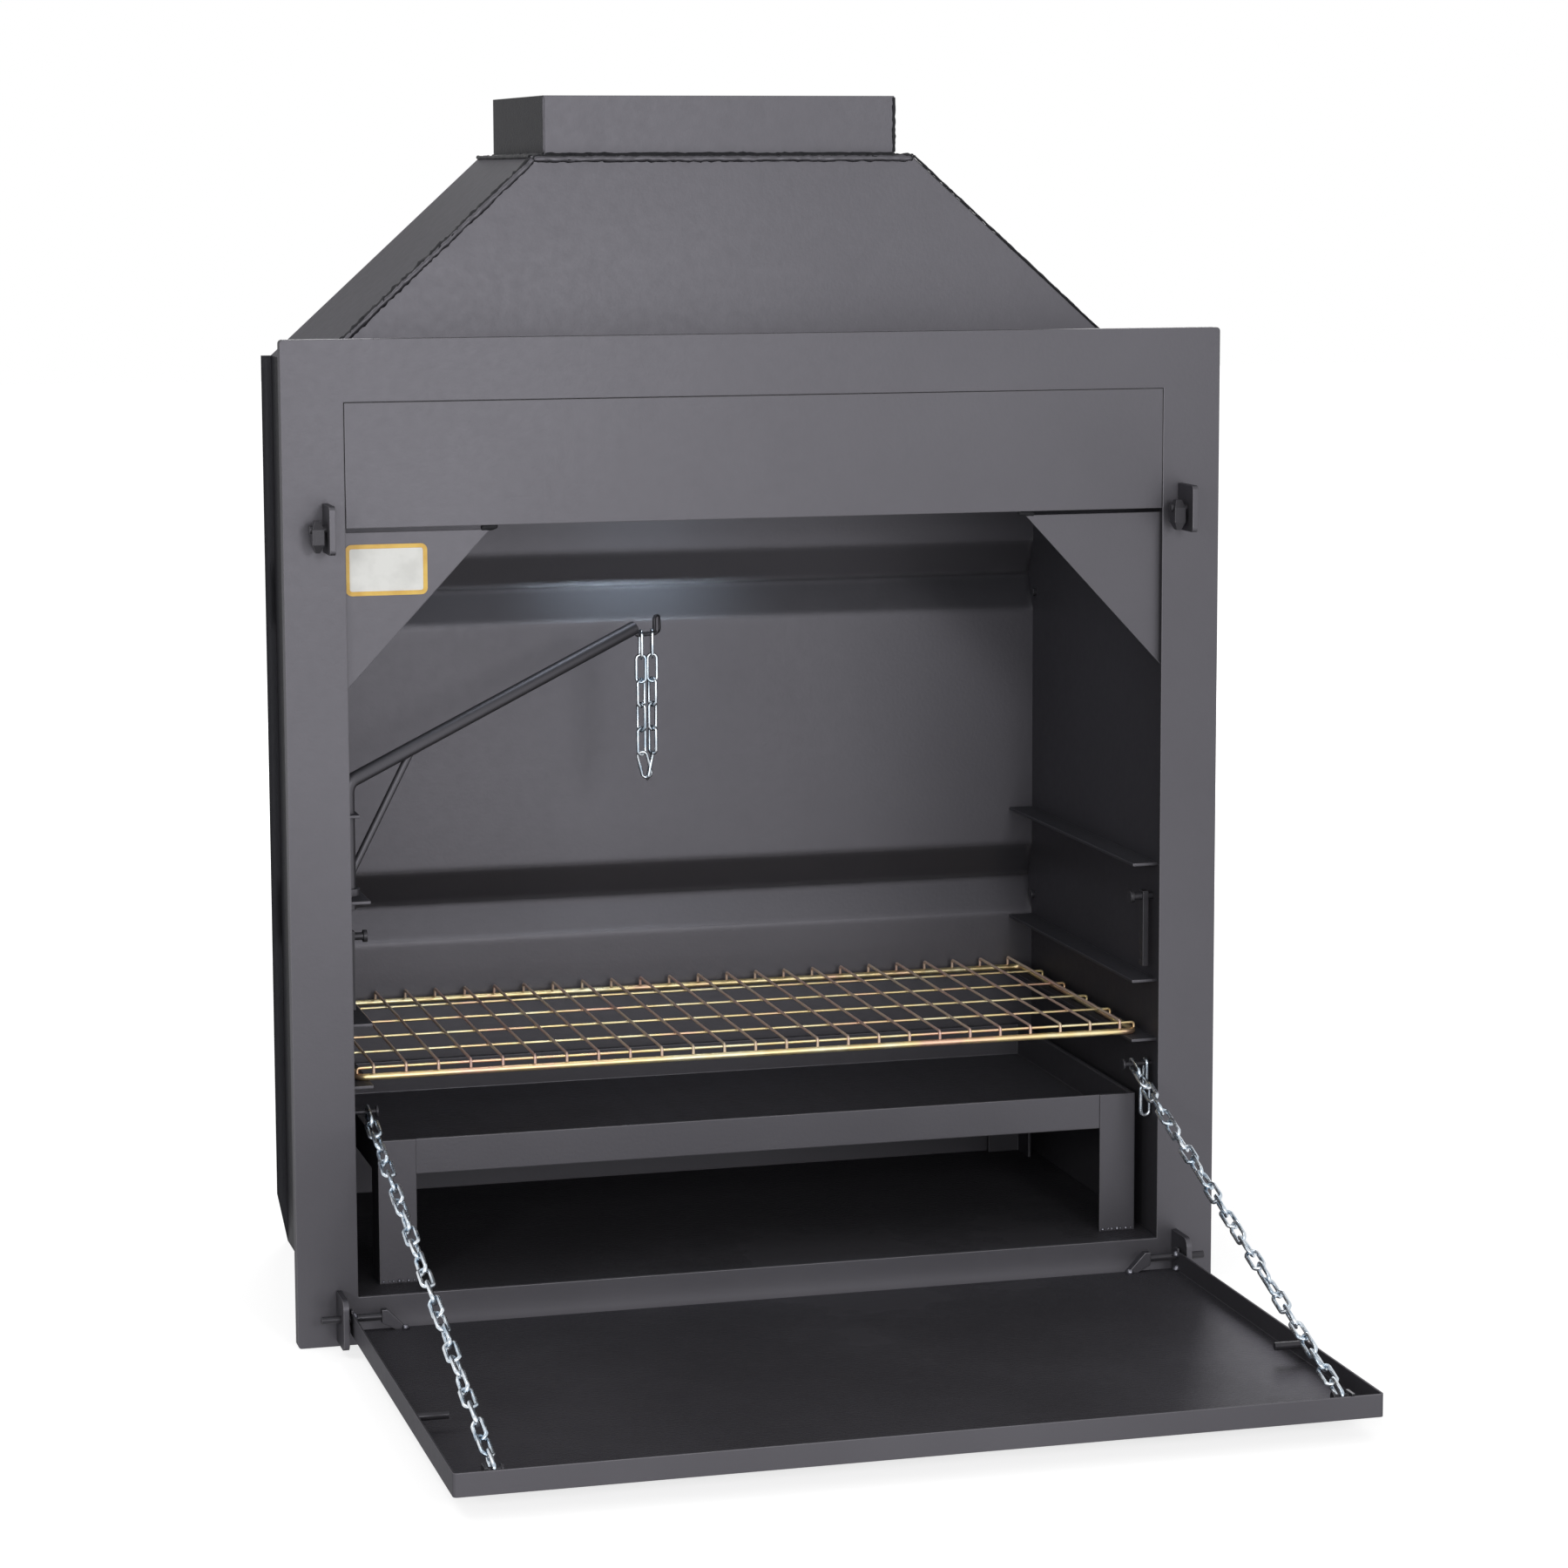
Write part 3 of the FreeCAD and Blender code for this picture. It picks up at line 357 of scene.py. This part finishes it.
def pickFaces(piece, test):
    bpy.ops.object.mode_set(mode="OBJECT")
    scene.tool_settings.mesh_select_mode = (False, False, True)
    for item in [*piece.data.vertices, *piece.data.edges]:
        item.select = False
    for face in piece.data.polygons:
        face.select = test(face)
    bpy.ops.object.mode_set(mode="EDIT")


def settle(piece, name, body, finish):
    bpy.ops.object.mode_set(mode="OBJECT")
    bpy.ops.object.transform_apply(location=True, rotation=True, scale=True)
    piece.name = name
    piece.data.name = name
    if finish:
        piece.data.materials.append(finish)
    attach(piece, body)


# weld beads, a rod cut into short rings and pushed about by a cloud texture
weldBead = {
    "step": 0.0035,
    "tip": 0.6,
    "lump": 1.3,
    "lumpSize": 0.0055,
}
lumpTexture = bpy.data.textures.new("weldLumps", "CLOUDS")
lumpTexture.noise_scale = weldBead["lumpSize"]
lumpTexture.noise_depth = 2


def roughen(piece, strength):
    lumps = piece.modifiers.new("lumps", "DISPLACE")
    lumps.texture = lumpTexture
    lumps.texture_coords = "LOCAL"
    lumps.strength = strength
    bpy.ops.object.modifier_apply(modifier="lumps")
    bpy.ops.object.shade_smooth()


def layBead(name, start, end, radius, body, finish):
    bpy.ops.object.select_all(action="DESELECT")
    way = Vector(end) - Vector(start)
    bpy.ops.mesh.primitive_cylinder_add(vertices=10, radius=radius, depth=way.length)
    bead = bpy.context.object
    pickEdges(bead, lambda a, b: abs(a.z - b.z) > way.length / 2)
    bpy.ops.mesh.subdivide(number_cuts=max(2, int(way.length / weldBead["step"])))
    pickEdges(bead, lambda a, b: min(abs(a.z), abs(b.z)) > 0.499 * way.length)
    bpy.ops.mesh.bevel(offset=weldBead["tip"] * radius, segments=2, affect="EDGES")
    bpy.ops.object.mode_set(mode="OBJECT")
    bead.location = Vector(start) + way / 2
    bead.rotation_euler = way.to_track_quat("Z", "Y").to_euler()
    settle(bead, name, body, finish)
    roughen(bead, weldBead["lump"] * radius)


# start, end, radius and paint of each seam
# the seams in the crease paint are painted shade, dark lines in the joints
seams = {
    "hoodLeftSeam": ((-0.4408, -0.0842, 1.0012), (-0.2066, -0.0633, 1.2125), 0.0032, weld),
    "hoodLeftCrease": ((-0.4412, -0.0825, 1.0012), (-0.207, -0.0616, 1.2125), 0.0042, creaseShade),
    "hoodRightCrease": ((0.4438, -0.084, 1.0012), (0.2094, -0.063, 1.2155), 0.0013, creaseShade),
    "hoodTopSeam": ((-0.206, -0.0636, 1.2128), (0.206, -0.0636, 1.2128), 0.0034, weld),
    "hoodTopCrease": ((-0.2075, -0.0614, 1.2132), (0.2075, -0.0614, 1.2132), 0.0043, creaseShade),
    "hoodTopLeftSeam": ((-0.2092, -0.06, 1.2155), (-0.2092, 0.221, 1.2155), 0.002, creaseShade),
    "hoodTopRightSeam": ((0.2092, -0.06, 1.2155), (0.2092, 0.221, 1.2155), 0.002, creaseShade),
    "collarFrontSeam": ((-0.191, -0.0485, 1.217), (0.191, -0.0485, 1.217), 0.0024, creaseShade),
    "collarLeftSeam": ((-0.1925, -0.047, 1.217), (-0.1925, 0.217, 1.217), 0.0022, creaseShade),
    "collarRightSeam": ((0.1925, -0.047, 1.217), (0.1925, 0.217, 1.217), 0.0022, creaseShade),
    "collarLeftCorner": ((-0.1918, -0.0478, 1.219), (-0.1918, -0.0478, 1.2775), 0.001, weld),
    "collarRightCorner": ((0.1918, -0.0478, 1.219), (0.1918, -0.0478, 1.2775), 0.0018, creaseShade),
    # the gusset tacks carry the same painted shade, darkening the gap under the header
    "leftGussetTack": ((-0.296, -0.2125, 0.8412), (-0.279, -0.2125, 0.8418), 0.003, creaseShade),
    "rightGussetTack": ((0.279, -0.2125, 0.8418), (0.296, -0.2125, 0.8412), 0.003, creaseShade),
}
for name, (start, end, radius, finish) in seams.items():
    layBead(name, start, end, radius, "body", finish)
print("welds laid:", len(seams))

# weld drops where the hinge rods and lugs sit on the door
weldDrop = {
    "foot": 0.4,
    "spread": 1.25,
    "squash": 0.3,
    "lump": 0.6,
}
lugDrops = {
    "spots": ((0.394, -0.256, 0.0245), (0.447, -0.256, 0.0405), (0.4465, -0.258, 0.0255)),
    "radius": 0.0034,
}


def layDrop(name, spot, radius, body, finish):
    bpy.ops.object.select_all(action="DESELECT")
    bpy.ops.mesh.primitive_ico_sphere_add(subdivisions=3, radius=radius)
    drop = bpy.context.object
    pickFaces(drop, lambda face: face.center.z < -weldDrop["foot"] * radius)
    bpy.ops.transform.resize(value=(weldDrop["spread"], weldDrop["spread"], weldDrop["squash"]))
    bpy.ops.object.mode_set(mode="OBJECT")
    drop.location = spot
    settle(drop, name, body, finish)
    roughen(drop, weldDrop["lump"] * radius)


for index, (x, y, z) in enumerate(lugDrops["spots"]):
    for side, sign in (("left", -1), ("right", 1)):
        layDrop("%sLugDrop%d" % (side, index), (sign * x, y, z), lugDrops["radius"], "door", spatter)

# spatter in a row along each front foot of the pan
panDrops = {
    "starts": {"left": -0.403, "right": 0.3905},
    "steps": (0.0, 0.0065, 0.0105, 0.0165, 0.0205, 0.0265, 0.0325),
    "radii": (0.0016, 0.0011, 0.0014, 0.0018, 0.0011, 0.0016, 0.0012),
    "y": -0.1784,
    "z": 0.0525,
}
for side, x in panDrops["starts"].items():
    for index, (step, radius) in enumerate(zip(panDrops["steps"], panDrops["radii"])):
        spot = (x + step, panDrops["y"], panDrops["z"])
        layDrop("%sPanDrop%d" % (side, index), spot, radius, "pan", spatter)
print("weld drops laid:", 2 * len(lugDrops["spots"]) + 2 * len(panDrops["steps"]))

# chains, a torus drawn out to a link, copied along the run and turned about it
pivots = {joint["name"]: Vector(joint["pos_m"]) for joint in frame["record"]["behaviour"]["joints"]
          if "pos_m" in joint}


def bendLink(wire, width, inside):
    bpy.ops.object.select_all(action="DESELECT")
    ring = width / 2 - wire
    bpy.ops.mesh.primitive_torus_add(major_radius=ring, minor_radius=wire, major_segments=18,
                                     minor_segments=9)
    link = bpy.context.object
    for sign in (-1, 1):
        pickFaces(link, lambda face: sign * face.center.x > 0.1 * ring)
        bpy.ops.transform.translate(value=(sign * (inside / 2 - ring + wire), 0, 0))
    bpy.ops.object.mode_set(mode="OBJECT")
    bpy.ops.object.shade_smooth()
    return link


def standLink(link, middle, along, normal):
    turn = Matrix((along, normal.cross(along), normal)).transposed().to_4x4()
    link.matrix_world = Matrix.Translation(middle) @ turn


def threadLinks(link, spots, name, body, node):
    copies = []
    for middle, along, normal in spots:
        copy = link.copy()
        copy.data = link.data.copy()
        scene.collection.objects.link(copy)
        standLink(copy, middle, along, normal)
        copies.append(copy)
    bpy.ops.object.select_all(action="DESELECT")
    for copy in copies:
        copy.select_set(True)
    bpy.context.view_layer.objects.active = copies[0]
    bpy.ops.object.join()
    settle(copies[0], name, body, zinc)
    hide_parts(node)


def dropLink(link):
    mesh = link.data
    bpy.data.objects.remove(link)
    bpy.data.meshes.remove(mesh)


doorChain = {
    "wire": 0.0021,
    "width": 0.0158,
    "links": 25,
    "pinRadius": 0.0025,
    "turn": {"left": 112.5, "right": -112.5},   # a right angle and a little twist from link to link
}
linkSlack = 0.0003
for side in ("left", "right"):
    pin = pivots[side + "_upper_run_swing"]
    eye = pivots[side + "_lower_run_swing"]
    way = eye - pin
    along = way.normalized()
    pitch = (way.length + 2 * doorChain["pinRadius"]) / doorChain["links"]
    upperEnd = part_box(side + "_chain_upper")[0][1]   # the upper run reaches this far out
    runs = {"upper": [], "lower": []}
    across = Vector((0, along.z, -along.y)).cross(along).normalized()   # square to the run, near the X axis
    for index in range(doorChain["links"]):
        middle = pin + along * (pitch * (index + 0.5) - doorChain["pinRadius"])
        normal = Matrix.Rotation(math.radians(index * doorChain["turn"][side]), 3, along) @ across
        runs["upper" if middle.y > upperEnd else "lower"].append((middle, along, normal))
    link = bendLink(doorChain["wire"], doorChain["width"], pitch + linkSlack)
    for run, spots in runs.items():
        name = "%s%sChainLinks" % (side, run.capitalize())
        threadLinks(link, spots, name, "%s_%s_run" % (side, run), "%s_chain_%s" % (side, run))
    dropLink(link)

# pot chain, two strands that meet at the bottom
potChain = {
    "wire": 0.0017,
    "width": 0.0138,
    "pitch": 0.0266,
    "hookRadius": 0.0025,
    "spread": 0.008,
    "turns": {-1: (2, 76, 122, 38, 116), 1: (-8, 84, 36, 118, 34)},
    "lowTurns": {-1: 40, 1: 125},
    "lowDrop": {-1: 0.0, 1: -0.0035},
    "lowShare": 0.96,
}
hook = pivots["pot_chain_swing"]
swingAxis = next(joint["axis"] for joint in frame["record"]["behaviour"]["joints"]
                 if joint["name"] == "pot_chain_swing")
outward = Vector(swingAxis).normalized() * -1
down = Vector((0, 0, -1))
spots = []
for sign, turns in potChain["turns"].items():
    top = hook + outward * (sign * potChain["spread"])
    for index, degrees in enumerate(turns):
        middle = top + down * (potChain["pitch"] * (index + 0.5) - potChain["hookRadius"])
        normal = Vector((math.cos(math.radians(degrees)), math.sin(math.radians(degrees)), 0))
        spots.append((middle, down, normal))
    upper = top + down * (potChain["pitch"] * len(turns) - potChain["hookRadius"])
    lowHeight = upper.z - potChain["lowShare"] * potChain["pitch"] + potChain["lowDrop"][sign]
    lower = Vector((hook.x, hook.y, lowHeight))
    along = (lower - upper).normalized()
    sideways = Vector((0, 0, 1)).cross(along).normalized()
    normal = Matrix.Rotation(math.radians(potChain["lowTurns"][sign]), 3, along) @ sideways
    spots.append(((upper + lower) / 2, along, normal))
link = bendLink(potChain["wire"], potChain["width"], potChain["pitch"] + linkSlack)
threadLinks(link, spots, "potChainLinks", "hanging_chain", "pot_chain")
dropLink(link)
print("chains threaded")

# the hook's end is curled to a narrow eye
hookCurl = {
    "wire": 0.002,
    "width": 0.0125,
    "inside": 0.014,
    "turn": 128,
    "inset": (0.0025, 0.0025, 0.008),
}
curl = bendLink(hookCurl["wire"], hookCurl["width"], hookCurl["inside"])
curlTurn = math.radians(hookCurl["turn"])
curlSpot = Vector(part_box("pot_hook")[1]) - Vector(hookCurl["inset"])
standLink(curl, curlSpot, Vector((0, 0, 1)), Vector((math.cos(curlTurn), math.sin(curlTurn), 0)))
settle(curl, "hookCurl", "arm", hardware)
print("hook curled")

# blank plate with a raised rim in place of the plain sheet
namePlate = {
    "rim": 0.0034,
    "corner": 0.0065,
    "dish": 0.0005,
    "border": 0.0006,
    "slope": 0.0004,
}
low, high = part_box("name_plate")
bpy.ops.object.select_all(action="DESELECT")
bpy.ops.mesh.primitive_cube_add(size=1)
plate = bpy.context.object
plate.dimensions = [b - a for a, b in zip(low, high)]
plate.location = [(a + b) / 2 for a, b in zip(low, high)]
bpy.ops.object.transform_apply(location=True, rotation=True, scale=True)
pickEdges(plate, lambda a, b: abs(a.y - b.y) > 0.0005 and abs(a.z - b.z) < 0.0001)
bpy.ops.mesh.bevel(offset=namePlate["corner"], segments=5, affect="EDGES")
pickFaces(plate, lambda face: face.normal.y < -0.9)
bpy.ops.mesh.inset(thickness=namePlate["border"])
bpy.ops.mesh.inset(thickness=namePlate["rim"], use_even_offset=True)
bpy.ops.mesh.inset(thickness=namePlate["slope"])
bpy.ops.transform.translate(value=(0, namePlate["dish"], 0))
bpy.ops.object.mode_set(mode="OBJECT")
plate.data.materials.append(rimYellow)
plate.data.materials.append(enamel)
for face in plate.data.polygons:
    if face.select:
        face.material_index = 1
settle(plate, "namePlateBlank", "body", None)
bpy.ops.object.shade_smooth_by_angle(angle=math.radians(30))
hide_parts("name_plate")
print("plate rimmed")


# studio

studio = {
    "floorSize": 40,
    "floorColour": (0.55, 0.55, 0.55),
    "glowNear": 0.74,
    "glowFar": 1.0,
    "glowFrom": 0.9,
    "glowTo": 2.6,
    "ambient": 0.35,
}
bpy.ops.object.select_all(action="DESELECT")
bpy.ops.mesh.primitive_plane_add(size=studio["floorSize"], location=(0, 0, 0))
floor = bpy.context.object
floor.name = "studioFloor"


def addSeen(tree):
    path = tree.nodes.new("ShaderNodeLightPath")
    seen = path.outputs["Is Camera Ray"]
    for ray in ("Is Glossy Ray", "Is Transmission Ray"):
        either = tree.nodes.new("ShaderNodeMath")
        either.operation = "MAXIMUM"
        tree.links.new(seen, either.inputs[0])
        tree.links.new(path.outputs[ray], either.inputs[1])
        seen = either.outputs[0]
    return seen


def makeFloor(look):
    material, tree, shader = startMaterial("studioFloor")
    tree.nodes.remove(shader)
    matt = addNode(tree, "ShaderNodeBsdfDiffuse", Color=(*look["floorColour"], 1))
    glow = addNode(tree, "ShaderNodeEmission", Color=(1, 1, 1, 1))
    reach = tree.nodes.new("ShaderNodeVectorMath")   # the floor brightens away from the object
    reach.operation = "LENGTH"
    tree.links.new(tree.nodes.new("ShaderNodeTexCoord").outputs["Object"], reach.inputs[0])
    fade = addRange(tree, reach.outputs["Value"], look["glowNear"], look["glowFar"],
                    look["glowFrom"], look["glowTo"])
    tree.links.new(fade, glow.inputs["Strength"])
    both = tree.nodes.new("ShaderNodeAddShader")
    choose = tree.nodes.new("ShaderNodeMixShader")
    tree.links.new(matt.outputs[0], both.inputs[0])
    tree.links.new(glow.outputs[0], both.inputs[1])
    tree.links.new(addSeen(tree), choose.inputs[0])
    tree.links.new(matt.outputs[0], choose.inputs[1])
    tree.links.new(both.outputs[0], choose.inputs[2])
    tree.links.new(choose.outputs[0], tree.nodes["Material Output"].inputs["Surface"])
    return material


floor.data.materials.append(makeFloor(studio))

world = bpy.data.worlds.new("studio")
scene.world = world
world.use_nodes = True
sky = world.node_tree
ambient = sky.nodes["Background"]
ambient.inputs["Color"].default_value = (1, 1, 1, 1)
ambient.inputs["Strength"].default_value = studio["ambient"]
white = addNode(sky, "ShaderNodeBackground", Color=(1, 1, 1, 1), Strength=1.0)
choose = sky.nodes.new("ShaderNodeMixShader")
sky.links.new(addSeen(sky), choose.inputs[0])
sky.links.new(ambient.outputs[0], choose.inputs[1])
sky.links.new(white.outputs[0], choose.inputs[2])
sky.links.new(choose.outputs[0], sky.nodes["World Output"].inputs["Surface"])

lamps = {
    "keyLamp": {"place": (0.5, -5.2, 1.75), "aim": (0, 0, 0.7), "size": 0.7, "power": 37, "spread": 180},
    "fillLamp": {"place": (-3.4, -4.6, 1.75), "aim": (0, 0, 0.7), "size": 0.7, "power": 42, "spread": 180},
    "broadLamp": {"place": (-0.8, -5.0, 1.0), "aim": (0, 0, 0.6), "size": 3.0, "power": 62, "spread": 180},
    "sideLamp": {"place": (-2.8, 0.6, 4.6), "aim": (0, 0, 0.9), "size": 2.0, "power": 42, "spread": 180},
    "rearLamp": {"place": (1.4, 4.8, 2.4), "aim": (0, 0, 0.7), "size": 2.6, "power": 110, "spread": 180},
    "flueLamp": {"place": (0, 0, 1.262), "aim": (-0.02, 0.23, 0.77), "size": 0.08, "depth": 0.03,
                 "power": 0.12, "spread": 28, "colour": (0.7, 0.88, 1.0)},
    "skyLamp": {"place": (0, 0, 1.268), "aim": (0, 0.06, 0), "size": 0.08, "power": 0.5, "spread": 120,
                "colour": (0.8, 0.9, 1.0)},
}
for name, look in lamps.items():
    bpy.ops.object.light_add(type="AREA", location=look["place"])
    lamp = bpy.context.object
    lamp.name = name
    lamp.data.shape = "RECTANGLE"
    lamp.data.size = look["size"]
    lamp.data.size_y = look.get("depth", look["size"])
    lamp.data.energy = look["power"]
    lamp.data.spread = math.radians(look["spread"])
    lamp.data.color = look.get("colour", (1, 1, 1))
    away = lamp.location - Vector(look["aim"])
    lamp.rotation_euler = away.to_track_quat("Z", "Y").to_euler()

photoCamera = {
    "place": (-1.1175, -4.3834, 1.1978),
    "yaw": 15.311,
    "pitch": 7.385,
    "roll": -0.194,
    "lens": 95.958,
    "shiftY": -0.0444,
    "sensor": 36,
    "clipEnd": 100,
}
bpy.ops.object.camera_add(location=photoCamera["place"])
camera = bpy.context.object
camera.name = "photoCamera"
camera.rotation_euler = (
    math.radians(90 - photoCamera["pitch"]),
    math.radians(-photoCamera["roll"]),
    math.radians(-photoCamera["yaw"]),
)
camera.data.sensor_width = photoCamera["sensor"]
camera.data.lens = photoCamera["lens"]
camera.data.shift_y = photoCamera["shiftY"]
camera.data.clip_end = photoCamera["clipEnd"]
scene.camera = camera
print("studio set")
